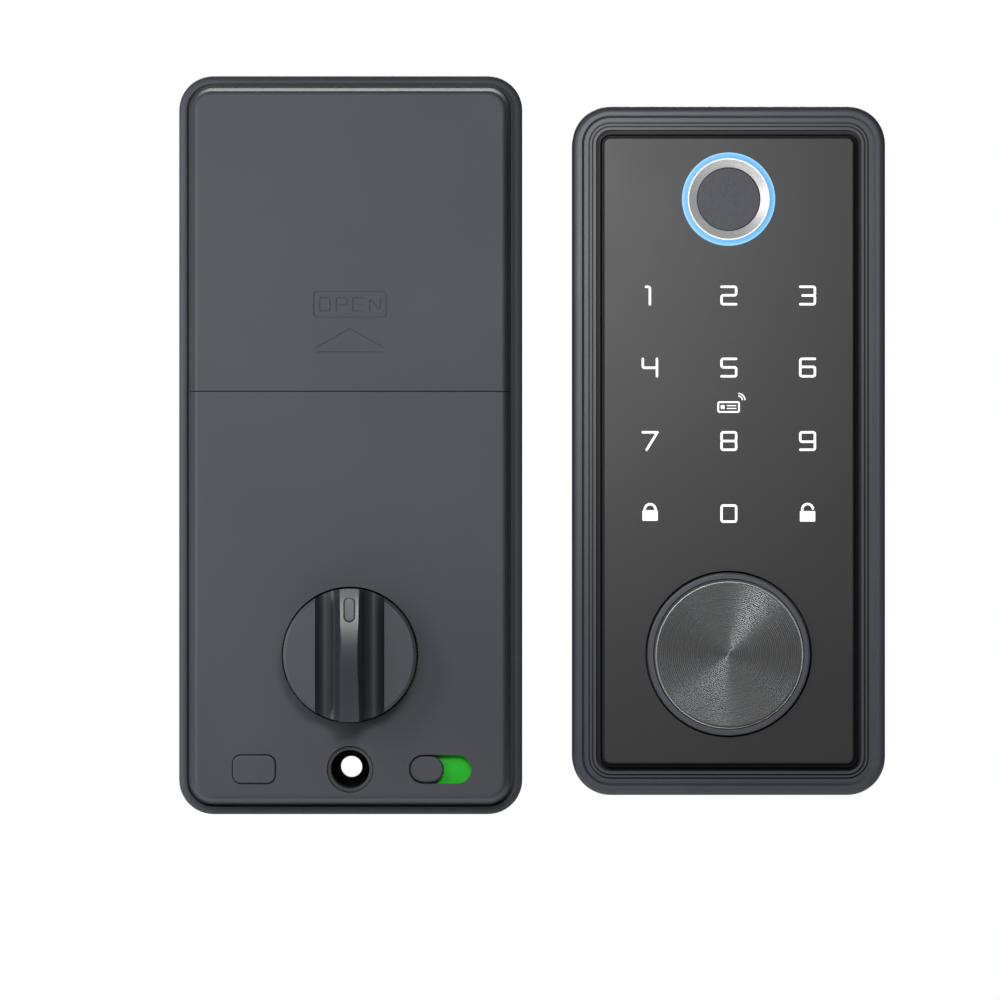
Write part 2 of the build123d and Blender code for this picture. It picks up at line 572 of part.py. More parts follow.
# ---- Inside unit: batteries -----------------------------------------------------------------------
def cell_places():
    """Middle of each cell in X, and whether its positive end is up."""
    return [(CELL_PITCH * (i - 1.5), i % 2 == 0) for i in range(4)]


def battery_parts():
    """Tray with its slide rails, four cells, their springs and contact plates."""
    low_in, high_in = TRAY_LOW + TRAY_WALL, TRAY_HIGH - TRAY_WALL
    middle, height = (TRAY_LOW + TRAY_HIGH) / 2, TRAY_HIGH - TRAY_LOW
    floor_back, floor_front = -11.0, -16.5
    tray = block(0, middle, 2 * TRAY_X, height, -BASE_FLOOR_T, TRAY_FRONT_Y)
    tray -= block(0, middle, 2 * TRAY_INNER_X, high_in - low_in, -BASE_FLOOR_T, floor_back)
    tray -= block(0, middle, 2 * TRAY_INNER_X, high_in - low_in, floor_front, TRAY_FRONT_Y)
    for side in (-1, 1):
        tray += block(side * (TRAY_X + 0.5), middle, 1.0, 59, -24.1, TRAY_FRONT_Y)
    cells, springs, plates = [], [], []
    plate_t, spring_gap, button = 0.4, 7.6, 1.0
    for x, up in cell_places():
        tray -= upright_bar(x, CELL_Y, CELL_R + 0.15, low_in, high_in)
        can_low = high_in - plate_t - CELL_H if up else low_in + plate_t + button
        can_high = can_low + CELL_H - button
        nub_low = can_high if up else can_low - button
        cell = upright_bar(x, CELL_Y, CELL_R, can_low, can_high)
        cell = fillet(cell.edges(), 0.5)
        cells.append(cell + upright_bar(x, CELL_Y, 2.7, nub_low, nub_low + button))
        base_z = low_in + plate_t if up else high_in - plate_t
        spring_length = (can_low - base_z) if up else (base_z - can_high)
        springs.append(spring((x, CELL_Y, base_z + (0.45 if up else -0.45)),
                              (0, 0, 1 if up else -1), 3.6, 0.4, spring_length - 0.9, 4))
    pairs_top = ((-1.5, -1.5), (-0.5, 0.5), (1.5, 1.5))
    pairs_low = ((-1.5, -0.5), (0.5, 1.5))
    for pairs, edge in ((pairs_top, high_in - plate_t), (pairs_low, low_in)):
        for first, last in pairs:
            width = (last - first) * CELL_PITCH + 9
            plate = Pos((first + last) / 2 * CELL_PITCH, CELL_Y) * Rectangle(width, 7.8)
            plates.append(extrude(Plane.XY.offset(edge) * plate, amount=plate_t))
    return {
        "battery_tray": tray,
        "batteries": group(cells),
        "battery_springs": group(springs),
        "battery_contact_plates": group(plates),
    }


# ---- Inside unit: thumbturn, spindle and clutch ------------------------------------------------------
def thumbturn():
    """Round knob with both sides scooped away from a tall, gently crowned grip."""
    side = [
        Line((0, KNOB_CREST_Y), (CREST_X - 0.3, KNOB_CREST_Y)),
        Line((CREST_X - 0.3, KNOB_CREST_Y), (CREST_X, KNOB_CREST_Y + 0.4)),
        Line((CREST_X, KNOB_CREST_Y + 0.4), (GRIP_X - 0.5, KNOB_FLAT_Y - 0.6)),
        ThreePointArc((GRIP_X - 0.5, KNOB_FLAT_Y - 0.6), (4.9, KNOB_FLAT_Y + 1.7),
                      (SCOOP_X, KNOB_FLAT_Y)),
        Line((SCOOP_X, KNOB_FLAT_Y), (KNOB_R + 1, KNOB_FLAT_Y)),
        Line((KNOB_R + 1, KNOB_FLAT_Y), (KNOB_R + 1, KNOB_BACK_Y)),
        Line((KNOB_R + 1, KNOB_BACK_Y), (0, KNOB_BACK_Y)),
        Line((0, KNOB_BACK_Y), (0, KNOB_CREST_Y)),
    ]
    half = make_face(side)
    profile = half + mirror(half, Plane.YZ)
    knob = extrude(Plane.XY.offset(-KNOB_R - 1) * profile, amount=2 * KNOB_R + 2)
    knob &= disc(0, 0, KNOB_R, KNOB_BACK_Y, KNOB_CREST_Y - 1)
    crown = Pos(0, KNOB_CREST_Y + CREST_CURVE_R, 0) * Rot(0, 90, 0) * Cylinder(CREST_CURVE_R, 40)
    knob &= crown
    rim = [e for e in edges_at_depth(knob, KNOB_FLAT_Y) if e.geom_type == GeomType.CIRCLE]
    knob = chamfer(rim, 0.6)
    knob -= slab(Pos(0, MARKER_Z) * Rot(0, 0, 90) * SlotOverall(MARKER_H, MARKER_W),
                 -46.6, KNOB_CREST_Y - 1)
    return knob - disc(0, 0, SPINDLE_R + 0.02, KNOB_BACK_Y, -39)


def spindle_parts():
    """Spindle with its tail socket, bush, clip, and the friction clutch on its hub."""
    spindle = disc(0, 0, SPINDLE_R, -0.6, -39)
    spindle += disc(0, 0, HUB_R, -7.0, -10.4) + disc(0, 0, 6.2, -10.4, -11.0)
    spindle -= block(0, 0, TAIL_T + 0.4, TAIL_W + 0.4, -0.6, -18)
    spindle -= tube(0, 0, SPINDLE_R + 1, 3.5, -1.2, -2.0)
    clip = tube(0, 0, 6.0, 3.55, -1.25, -1.95) - block(0, -6, 4.4, 9, -1.25, -1.95)
    dish = frustum(Circle(5.4), -7.0, Circle(8.6), -8.0) - frustum(Circle(5.15), -7.0, Circle(8.35), -8.0)
    return {
        "thumbturn_spindle": spindle,
        "spindle_clip": clip,
        "spindle_bush": tube(0, 0, 6.05, SPINDLE_R + FIT, -2.2, CHASSIS_BACK[1]),
        "clutch_plate": tube(0, 0, 9.0, SPINDLE_R + 0.02, -6.2, -7.0),
        "clutch_spring": dish,
        "thumbturn_marker": slab(Pos(0, MARKER_Z) * Rot(0, 0, 90) * SlotOverall(4.85, 1.9),
                                 -46.6, -46.95),
    }


# ---- Inside unit: motor and gears ---------------------------------------------------------------------
def involute(angle):
    return tan(angle) - angle


def gear_outline(teeth, phase):
    """Involute gear outline with one tooth centred on the angle phase, in degrees."""
    pitch_r = MODULE * teeth / 2
    base_r = pitch_r * cos(PRESSURE)
    root_r, tip_r = pitch_r - 1.2 * MODULE, pitch_r + 0.9 * MODULE
    half_pitch_tooth = 0.88 * pi / (2 * teeth)
    flank = []
    for radius in (base_r + 0.02, pitch_r, tip_r):
        grown = involute(PRESSURE) - involute(acos(base_r / radius))
        flank.append((radius, half_pitch_tooth + grown))
    flank.insert(0, (root_r, flank[0][1] + 0.02 / teeth))
    points = []
    for tooth in range(teeth):
        middle = radians(phase) + 2 * pi * tooth / teeth
        for radius, half in flank:
            points.append((radius * cos(middle - half), radius * sin(middle - half)))
        for radius, half in reversed(flank):
            points.append((radius * cos(middle + half), radius * sin(middle + half)))
    return make_face(Polyline(*points, close=True))


def gear(place, teeth, phase, back, front):
    return slab(Pos(*place) * gear_outline(teeth, phase), back, front)


def meeting(start, end, teeth):
    """Phases that put a tooth of the gear at start in a gap of the gear at end."""
    angle = degrees(atan2(end[1] - start[1], end[0] - start[0]))
    return angle, angle + 180 + 180 / teeth


def gear_train():
    """Motor pinion, two compound gears and the spindle's gear, in mesh at rest."""
    drive_phase, second_small_phase = meeting((0, 0), SECOND_AT, SECOND_SMALL)
    second_big_phase, first_small_phase = meeting(SECOND_AT, FIRST_AT, FIRST_SMALL)
    first_big_phase, pinion_phase = meeting(FIRST_AT, MOTOR_AT, PINION_TEETH)
    axle_r = 1.0
    drive = gear((0, 0), DRIVE_TEETH, drive_phase, -8.0, -10.4) - disc(0, 0, HUB_R + FIT, -8.0, -10.4)
    second = gear(SECOND_AT, SECOND_SMALL, second_small_phase, -6.4, -11.2)
    second += gear(SECOND_AT, SECOND_BIG, second_big_phase, -11.2, -13.0)
    second += disc(*SECOND_AT, 1.75, -13.0, -15.2)
    second -= disc(*SECOND_AT, axle_r + FIT, -6.4, -15.2)
    first = disc(*FIRST_AT, 1.75, -6.4, -11.1)
    first += gear(FIRST_AT, FIRST_SMALL, first_small_phase, -11.1, -13.4)
    first += gear(FIRST_AT, FIRST_BIG, first_big_phase, -13.4, -15.0)
    first -= disc(*FIRST_AT, axle_r + FIT, -6.4, -15.0)
    pinion = gear(MOTOR_AT, PINION_TEETH, pinion_phase, -13.3, -15.1) - disc(*MOTOR_AT, 0.76, -13.3, -15.1)
    axles = [disc(*place, axle_r, CHASSIS_BACK[0], CHASSIS_FRONT[1]) for place in (SECOND_AT, FIRST_AT)]
    return {
        "drive_gear": drive,
        "second_compound_gear": second,
        "first_compound_gear": first,
        "motor_pinion": pinion,
        "gear_axles": group(axles),
    }


def chassis_parts():
    """Two plates that carry the axles and the motor; posts on one hold them apart."""
    outline = make_hull([(Pos(*place) * Circle(3.4)).edge() for place in CHASSIS_POSTS])
    back_plate = slab(outline, *CHASSIS_BACK) - disc(0, 0, 6.1, *CHASSIS_BACK)
    front_plate = slab(outline, *CHASSIS_FRONT) - disc(0, 0, 6.1, *CHASSIS_FRONT)
    front_plate -= disc(*MOTOR_AT, 2.5, *CHASSIS_FRONT)
    for place in (SECOND_AT, FIRST_AT):
        back_plate -= disc(*place, 1.02, *CHASSIS_BACK)
        front_plate -= disc(*place, 1.02, *CHASSIS_FRONT)
    for place in CHASSIS_POSTS:
        back_plate += disc(*place, 1.9, CHASSIS_BACK[1], CHASSIS_FRONT[0])
        back_plate -= disc(*place, 1.2, CHASSIS_BACK[0], CHASSIS_FRONT[0])
        front_plate -= disc(*place, 1.2, *CHASSIS_FRONT)
    can = Pos(*MOTOR_AT) * (Circle(MOTOR_R) & Rectangle(MOTOR_FLAT, 2 * MOTOR_R))
    motor_end = CHASSIS_FRONT[1] - MOTOR_LENGTH
    motor = slab(can, CHASSIS_FRONT[1], motor_end) + disc(*MOTOR_AT, 2.4, -15.6, CHASSIS_FRONT[1])
    motor -= disc(*MOTOR_AT, 0.8, -15.6, -27)
    return {
        "gear_back_plate": back_plate,
        "gear_front_plate": front_plate,
        "motor": motor,
        "motor_shaft": disc(*MOTOR_AT, 0.75, -12.8, -26.5),
    }


# ---- Inside unit: boards, button and switch ---------------------------------------------------------------
def inside_electronics():
    """Main board with its chips, the buzzer, the cable socket and two switches."""
    board = slab(rounded(0, -4, 49.6, 52, 1), BOARD_BACK, BOARD_FRONT)
    board -= disc(0, 0, 6.0, BOARD_BACK, BOARD_FRONT)
    board -= disc(0, LOW_Z, 6.3, BOARD_BACK, BOARD_FRONT)
    for x, z in BOARD_PILLARS:
        board -= disc(x, z, 1.1, BOARD_BACK, BOARD_FRONT)
    board += block(-11, 12, 9, 9, BOARD_FRONT, BOARD_FRONT - 1.1)
    board += block(0, 15, 5, 4, BOARD_FRONT, BOARD_FRONT - 1.0)
    for x in (-4, 0, 4):
        board += disc(x + 15, -9, 1.3, BOARD_FRONT, BOARD_FRONT - 3)
    tact = block(BUTTON_X, LOW_Z, 6.2, 6.2, BOARD_FRONT, -27.0)
    tact -= disc(BUTTON_X, LOW_Z, 1.6, -24.4, -27.0)
    slide = block(SLOT_X - SLIDER_LEG, LOW_Z, 9.6, 4.4, BOARD_FRONT, -27.4)
    slide -= block(SLOT_X - SLIDER_LEG, LOW_Z, 8.0, 2.0, -25.4, -27.4)
    socket = block(-13, -8, 10, 5, BOARD_FRONT, -28.6) - block(-13, -8, 8.4, 3.4, -25, -28.6)
    buzzer = disc(13, 10, 5.8, BOARD_FRONT, -28.2) - disc(13, 10, 1.0, -27.2, -28.2)
    return {
        "main_board": board,
        "buzzer": buzzer,
        "cable_socket": socket,
        "tact_switch": tact,
        "slide_switch": slide,
    }


def set_button():
    """Setting button: a rounded cap, a flange behind the cover and a short stem."""
    cap = slab(rounded(BUTTON_X, LOW_Z, BUTTON_W, BUTTON_H, BUTTON_R), -31.9, FACE_Y - 0.15)
    cap = fillet(edges_at_depth(cap, FACE_Y - 0.15), 0.35)
    cap += slab(rounded(BUTTON_X, LOW_Z, BUTTON_W + 1.8, BUTTON_H + 1.8, 2), -30.9, -31.9)
    return cap + disc(BUTTON_X, LOW_Z, 1.4, -25.6, -30.9)


def privacy_parts():
    """Slide knob of the privacy switch, and the coloured label it uncovers."""
    knob_x = SLOT_X - SLOT_W / 2 + 0.2 + SLIDER_W / 2
    knob = slab(Pos(knob_x, LOW_Z) * SlotOverall(SLIDER_W, SLIDER_H), -31.9, FACE_Y + 0.3)
    knob = fillet(edges_at_depth(knob, FACE_Y + 0.3), 0.5)
    leg_x = knob_x - SLIDER_LEG
    knob += block(leg_x, LOW_Z, 1.2, 1.6, -25.9, -31.9)
    label = slab(Pos(SLOT_X, LOW_Z) * SlotOverall(16.2, 8.9), -31.0, -31.7)
    label += slab(Pos(SLOT_X, LOW_Z) * (SlotOverall(16.2, 8.9) - SlotOverall(14.4, 7.1)), -31.7, -32.2)
    label -= block(leg_x + SLIDER_TRAVEL / 2, LOW_Z, SLIDER_TRAVEL + 1.6, 2.0, -31.0, -31.7)
    return {"privacy_slider": knob, "privacy_label": label}


# ---- All pieces ----------------------------------------------------------------------------
def outside_pieces():
    pieces = {
        "outside_housing": outside_housing(),
        "touch_panel": touch_panel(),
        "keypad_legends": keypad_legends(),
        "outside_screws": outside_screws(),
    }
    for parts in (fingerprint_parts(), keypad_electronics(), outside_back(), key_cylinder(),
                  keyhole_cap()):
        pieces.update(parts)
    return pieces


def inside_pieces():
    pieces = {
        "inside_base": inside_base(),
        "inside_cover": inside_cover(),
        "battery_cover": battery_cover(),
        "thumbturn": thumbturn(),
        "set_button": set_button(),
        "inside_mounting_plate": inside_mounting_plate(),
        "inside_screws": inside_screws(),
    }
    for parts in (battery_parts(), spindle_parts(), gear_train(),
                  chassis_parts(), inside_electronics(), privacy_parts()):
        pieces.update(parts)
    place = Pos(INSIDE_X, 0, 0)
    return {name: group([shape]).moved(place) for name, shape in pieces.items()}


os.makedirs("parts", exist_ok=True)
for name, shape in {**outside_pieces(), **inside_pieces()}.items():
    export_step(group([shape]), f"parts/{name}.step")
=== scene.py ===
# %% [markdown]
# # A keypad smart lock, finished in Blender
# The lock is a pair. The outside unit carries a touch panel, a fingerprint reader and a round
# cap over its keyhole. The inside unit carries the batteries, a thumbturn and two controls.
# The solid shapes come from a CAD model, so the work here is to give every shape its finish,
# to turn one piece that the CAD keeps simple, and to set the camera, the lights and the floor.

# %% Load the CAD frame
import json
from math import cos, pi, radians, sin, tan, tau

import bmesh
import bpy
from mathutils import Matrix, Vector


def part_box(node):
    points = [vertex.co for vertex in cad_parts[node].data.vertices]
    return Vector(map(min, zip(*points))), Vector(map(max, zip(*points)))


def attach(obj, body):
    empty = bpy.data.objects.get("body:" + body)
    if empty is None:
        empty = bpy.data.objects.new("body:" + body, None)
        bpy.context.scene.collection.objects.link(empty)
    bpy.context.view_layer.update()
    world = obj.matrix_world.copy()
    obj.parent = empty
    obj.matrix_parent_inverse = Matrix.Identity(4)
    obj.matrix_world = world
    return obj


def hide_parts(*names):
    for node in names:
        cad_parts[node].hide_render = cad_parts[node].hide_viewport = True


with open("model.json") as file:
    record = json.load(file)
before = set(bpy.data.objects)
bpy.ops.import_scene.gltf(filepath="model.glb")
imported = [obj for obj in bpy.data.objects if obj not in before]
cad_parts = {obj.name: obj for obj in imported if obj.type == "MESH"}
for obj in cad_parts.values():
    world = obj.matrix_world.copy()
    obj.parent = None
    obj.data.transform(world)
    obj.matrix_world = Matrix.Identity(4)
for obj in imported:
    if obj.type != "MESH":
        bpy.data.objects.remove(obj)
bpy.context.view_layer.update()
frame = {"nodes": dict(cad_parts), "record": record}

# %% [markdown]
# ## A few small tools
# Paint charts and screens give colours as sRGB hex codes, but a shader adds up light in linear
# numbers, so one function does that change. Shader nodes could be placed by hand in the editor.
# In a script it is shorter to have one function that adds a node, fills its sockets and links it.
# The stops of a colour ramp are not sockets, so they are set by a function of their own.

# %% Tools for colours and nodes
MM = 0.001


def linear(code):
    """An sRGB hex code such as #4c4e56 as linear red, green, blue and alpha."""
    parts = [int(code[i:i + 2], 16) / 255 for i in (1, 3, 5)]
    return (*[((c + 0.055) / 1.055) ** 2.4 if c > 0.04045 else c / 12.92 for c in parts], 1.0)


def fill(tree, node, inputs):
    """Give each named socket a value, or link it when the value is another socket."""
    for key, value in inputs.items():
        if isinstance(value, bpy.types.NodeSocket):
            tree.links.new(value, node.inputs[key])
        else:
            node.inputs[key].default_value = value


def add(tree, kind, inputs=None, **settings):
    """Add one shader node with its settings, values and links."""
    node = tree.nodes.new("ShaderNode" + kind)
    for name, value in settings.items():
        setattr(node, name, value)
    fill(tree, node, inputs or {})
    return node


def shades(tree, share, stops, blend="LINEAR"):
    """A colour ramp read at share, from stops of (place, hex code). Returns its colour."""
    node = add(tree, "ValToRGB", {"Fac": share})
    node.color_ramp.interpolation = blend
    made = node.color_ramp.elements
    for element, (place, code) in zip(made, stops[:2]):
        element.position, element.color = place, linear(code)
    for place, code in stops[2:]:
        made.new(place).color = linear(code)
    return node.outputs["Color"]


def new_finish(name, **sockets):
    """A material with one Principled shader. Returns the material, its tree and the shader."""
    material = bpy.data.materials.new(name)
    material.use_nodes = True
    tree = material.node_tree
    shader = tree.nodes["Principled BSDF"]
    fill(tree, shader, {key.replace("_", " "): value for key, value in sockets.items()})
    return material, tree, shader


def middle_of(node):
    """The middle of a CAD piece's box, and half its size along each axis."""
    low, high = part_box(node)
    return (low + high) / 2, (high - low) / 2


print("#808080 in linear light is", round(linear("#808080")[0], 3))

# %% [markdown]
# ## Powder coat
# Both units and the thumbturn are painted. Powder is sprayed on dry and melted in an oven, which
# leaves a satin skin with a very fine orange peel. A flat colour would look like plain plastic,
# so the colour drifts a little over centimetres, and a fine noise moves both the gloss and the
# surface. The noise is laid out in object space, in metres, so one size fits every piece. A
# real peel repeats about every 0.2 mm, and it is drawn a little coarser so that it still shows.

# %% Powder coat


def powder_coat(name, pale, deep, roughness, peel=0.35 * MM, lift=0.004 * MM):
    """Sprayed and baked paint: a soft drift of colour, and an orange peel of the given grain."""
    material, tree, shader = new_finish(name, IOR=1.5)
    place = add(tree, "TexCoord").outputs["Object"]
    drift = add(tree, "TexNoise", {"Vector": place, "Scale": 1 / (30 * MM), "Detail": 2.0})
    colour = shades(tree, drift.outputs["Fac"], ((0.3, deep), (0.7, pale)))
    grain = add(tree, "TexNoise", {"Vector": place, "Scale": 1 / peel, "Detail": 3.0,
                                   "Roughness": 0.6})
    gloss = add(tree, "MapRange", {"Value": grain.outputs["Fac"], "To Min": roughness - 0.05,
                                   "To Max": roughness + 0.07})
    bump = add(tree, "Bump", {"Height": grain.outputs["Fac"], "Distance": lift})
    fill(tree, shader, {"Base Color": colour, "Roughness": gloss.outputs["Result"],
                        "Normal": bump.outputs["Normal"]})
    return material


finishes = {
    # Satin: flats look grey towards the light and the turned-away edges fall nearly black.
    "frame_enamel": powder_coat("powder_coat_satin_frame", "#50525a", "#4a4c54", 0.36),
    "cap_enamel": powder_coat("powder_coat_satin_cap", "#585962", "#53545d", 0.36),
    # A duller coat: the broad face shows one slow fade of light and no clear reflection.
    "inside_enamel": powder_coat("powder_coat_matt_inside", "#484b53", "#44474f", 0.62),
    "control_enamel": powder_coat("powder_coat_satin_controls", "#474a52", "#43464e", 0.5),
}
print("powder coats:", [m.name for m in finishes.values()])

# %% [markdown]
# ## Painted shade in the grooves and the scoops
# The frame's fine grooves, the trench round the panel and the scoops of the thumbturn are coloured
# near black: that is painted shade, for the dark that falls into them. Depth and distance from the
# middle, in object space, say where those places are. The thumbturn's crest is glossier than the
# rest because hands polish it, and a darker colour on it is painted shade for the dark it reflects.

# %% Painted shade in the grooves, scoops and crest, and a polished crest


def zone(tree, middle, reach, deeper=None, proud=None):
    """1 within a reach in X and Z of a middle, and deeper or prouder than a Y; 0 elsewhere."""
    place = add(tree, "TexCoord").outputs["Object"]
    apart = add(tree, "VectorMath", {0: place, 1: middle}, operation="SUBTRACT")
    size = add(tree, "VectorMath", {0: apart.outputs["Vector"]}, operation="ABSOLUTE")
    away = add(tree, "SeparateXYZ", {"Vector": size.outputs["Vector"]}).outputs
    depth = add(tree, "SeparateXYZ", {"Vector": place}).outputs["Y"]
    tests = [(away["X"], "LESS_THAN", reach[0]), (away["Z"], "LESS_THAN", reach[1])]
    if deeper is not None:
        tests.append((depth, "GREATER_THAN", deeper))
    if proud is not None:
        tests.append((depth, "LESS_THAN", proud))
    inside = 1.0
    for value, compare, bound in tests:
        test = add(tree, "Math", {0: value, 1: bound}, operation=compare)
        both = add(tree, "Math", {0: inside, 1: test.outputs["Value"]}, operation="MULTIPLY")
        inside = both.outputs["Value"]
    return inside


def change_where(material, share, colour, roughness):
    """Mix another colour and roughness into a finish where share is 1."""
    tree = material.node_tree
    shader = tree.nodes["Principled BSDF"]
    base = shader.inputs["Base Color"].links[0].from_socket
    gloss = shader.inputs["Roughness"].links[0].from_socket
    tint = add(tree, "MixRGB", {"Fac": share, "Color1": base, "Color2": linear(colour)})
    rough = add(tree, "Mix", {"Factor": share, "A": gloss, "B": roughness}, data_type="FLOAT")
    fill(tree, shader, {"Base Color": tint.outputs["Color"], "Roughness": rough.outputs["Result"]})


RIM_WIDTH = 3.2 * MM                          # from the frame's outline to its first fine groove
GROOVE_TOP = -20.3 * MM                       # a little behind the face that the grooves are cut in
middle, half = middle_of("outside_housing")
coat = finishes["frame_enamel"]
# Painted shade: the fine grooves, the trench and the pocket round the panel are coloured near
# black.
groove_painted_shade = zone(coat.node_tree, middle, (half.x - RIM_WIDTH, half.z - RIM_WIDTH), deeper=GROOVE_TOP)
change_where(coat, groove_painted_shade, "#1c1d20", 0.5)

SCOOPED_HALF, CREST_HALF = 7.5 * MM, 1.96 * MM      # half widths across the thumbturn
DISC_FACE, CREST_FACE = -33 * MM, -46 * MM          # in front of these lie the scoops and the crest
middle, half = middle_of("thumbturn")
coat = finishes["control_enamel"]
# Painted shade: the scoops are coloured darker than the rest of the knob, for the dark they hold.
scoop_painted_shade = zone(coat.node_tree, middle, (SCOOPED_HALF, 1.1 * half.z), proud=DISC_FACE)
change_where(coat, scoop_painted_shade, "#2c2f37", 0.42)
# The crest gets a lower roughness for the polish of hands, and a darker colour that is painted
# shade for the dark front its middle reflects.
crest_polish_and_painted_shade = zone(coat.node_tree, middle, (CREST_HALF, 1.1 * half.z), proud=CREST_FACE)
change_where(coat, crest_polish_and_painted_shade, "#3a3d44", 0.27)
print("finishes with zones: frame grooves, thumbturn scoops, thumbturn crest")

# %% [markdown]
# ## Touch panel
# The panel is clear acrylic, printed dark grey behind, with a hard coat that is slightly etched
# so that fingers do not show. That gives a broad, soft reflection over a dark grey, with no
# sharp mirror image. The etch is far finer than a hair, so it is left to roughness alone, and a
# faint noise in the gloss stands for wiped finger marks.

# %% Touch panel
material, tree, shader = new_finish("etched_acrylic_panel", IOR=1.49)
place = add(tree, "TexCoord").outputs["Object"]
smears = add(tree, "TexNoise", {"Vector": place, "Scale": 1 / (22 * MM), "Detail": 5.0,
                                "Distortion": 0.6})
gloss = add(tree, "MapRange", {"Value": smears.outputs["Fac"], "To Min": 0.36, "To Max": 0.42})
ink = shades(tree, smears.outputs["Fac"], ((0, "#343434"), (1, "#373737")))
fill(tree, shader, {"Base Color": ink, "Roughness": gloss.outputs["Result"]})
finishes["panel_acrylic"] = material

# %% [markdown]
# ## Lit pieces
# The digits are gaps in the ink with white film behind, lit by small lamps, so they stay bright
# in the shaded half of the panel. The ring round the reader is a light pipe: clear plastic that
# a blue lamp glows through, palest at its outer edge. Emission is the simple way to show both,
# and a real surface below it keeps them from looking like flat paper.

# %% Lit legends and light ring
material, tree, shader = new_finish("backlit_white_film", Roughness=0.45, IOR=1.5,
                                    Emission_Strength=0.75)
place = add(tree, "TexCoord").outputs["Object"]
mottle = add(tree, "TexNoise", {"Vector": place, "Scale": 1 / (0.8 * MM), "Detail": 2.0})
white = shades(tree, mottle.outputs["Fac"], ((0, "#eef1f4"), (1, "#ffffff")))
fill(tree, shader, {"Base Color": white, "Emission Color": white})
finishes["legend_ink"] = material

PIPE_INNER, PIPE_OUTER = 8.95 * MM, 10.15 * MM      # radii between which the pipe's tint changes
ring_middle, _ = middle_of("fingerprint_light_ring")
material, tree, shader = new_finish("light_pipe_blue", Roughness=0.3, IOR=1.49,
                                    Emission_Strength=0.45)
place = add(tree, "TexCoord").outputs["Object"]
from_middle = add(tree, "VectorMath", {0: place, 1: ring_middle}, operation="SUBTRACT")
flat = add(tree, "VectorMath", {0: from_middle.outputs["Vector"], 1: (1, 0, 1)},
           operation="MULTIPLY")
radius = add(tree, "VectorMath", {0: flat.outputs["Vector"]}, operation="LENGTH")
across = add(tree, "MapRange", {"Value": radius.outputs["Value"], "From Min": PIPE_INNER,
                                "From Max": PIPE_OUTER})
glow = shades(tree, across.outputs["Result"], ((0, "#4fa6e0"), (0.55, "#5cb2f6"), (1, "#8ccfff")))
fill(tree, shader, {"Base Color": glow, "Emission Color": glow})
finishes["light_ring"] = material

# %% [markdown]
# ## Metals
# Bare metals are told apart by their colour and by the marks that shaping left on them. Turning
# leaves rings round an axis, drawing and brushing leave lines along one way, and plating copies
# what is below. One function makes them all: a noise stretched into lines, used for both the
# gloss and a shallow relief. Metals keep the default IOR, because their colour sets the mirror.

# %% Metals


def worked_metal(name, pale, deep, roughness, lines=(1, 1, 1), mark=0.5 * MM, lift=0.003 * MM,
                 metallic=1.0):
    """Bare metal with tool marks. A small number in lines stretches the marks that way."""
    material, tree, shader = new_finish(name, Metallic=metallic)
    place = add(tree, "TexCoord").outputs["Object"]
    drawn = add(tree, "Mapping", {"Vector": place, "Scale": [n / mark for n in lines]})
    marks = add(tree, "TexNoise", {"Vector": drawn.outputs["Vector"], "Scale": 1.0, "Detail": 4.0,
                                   "Roughness": 0.65})
    tint = shades(tree, marks.outputs["Fac"], ((0.35, deep), (0.65, pale)))
    gloss = add(tree, "MapRange", {"Value": marks.outputs["Fac"], "To Min": roughness - 0.08,
                                   "To Max": roughness + 0.08})
    bump = add(tree, "Bump", {"Height": marks.outputs["Fac"], "Distance": lift})
    fill(tree, shader, {"Base Color": tint, "Roughness": gloss.outputs["Result"],
                        "Normal": bump.outputs["Normal"]})
    return material


finishes |= {
    # Turned brass is warm and bright, with lines round the cylinder that run along X here.
    "brass": worked_metal("turned_brass", "#e3c076", "#c9a55c", 0.28, lines=(0.1, 1, 1)),
    # Zinc plate on steel is a cool, slightly cloudy grey.
    "steel": worked_metal("zinc_plated_steel", "#c4c7cb", "#9ea2a8", 0.34, mark=1.2 * MM),
    # A motor can is drawn through a die, so its lines run along the can.
    "motor_can": worked_metal("drawn_steel_can", "#c9c9c8", "#aeb0b1", 0.25, lines=(1, 0.06, 1)),
    "magnet_nickel": worked_metal("nickel_plated_magnet", "#d8d4c8", "#c2beb2", 0.18, mark=2 * MM),
    # Varnished winding wire: redder and glossier than bare copper.
    "copper": worked_metal("varnished_copper_wire", "#d08a5a", "#a4552f", 0.24, lines=(1, 1, 6)),
    # The reader's ring is fine-blasted, then chromed: so dull that part of its light is scattered.
    "bezel_metal": worked_metal("satin_chrome_bezel", "#ffffff", "#f4f4f4", 0.45, mark=0.3 * MM,
                                lift=0, metallic=0.6),
}
print("metals added, finishes so far:", len(finishes))

# %% [markdown]
# ## Turned disc finish
# The cap's disc is aluminium, turned on a lathe and then dyed dark. The cutter leaves round
# grooves, and each groove has a finer thread of marks inside. Light is stretched across such
# marks. The grooves are real geometry below. The finer marks are too small to model, so the
# shader's anisotropy, round the disc's own axis, stands for them. The dye lies in a clear oxide
# layer, so the surface is not all mirror, and Metallic is well below one.

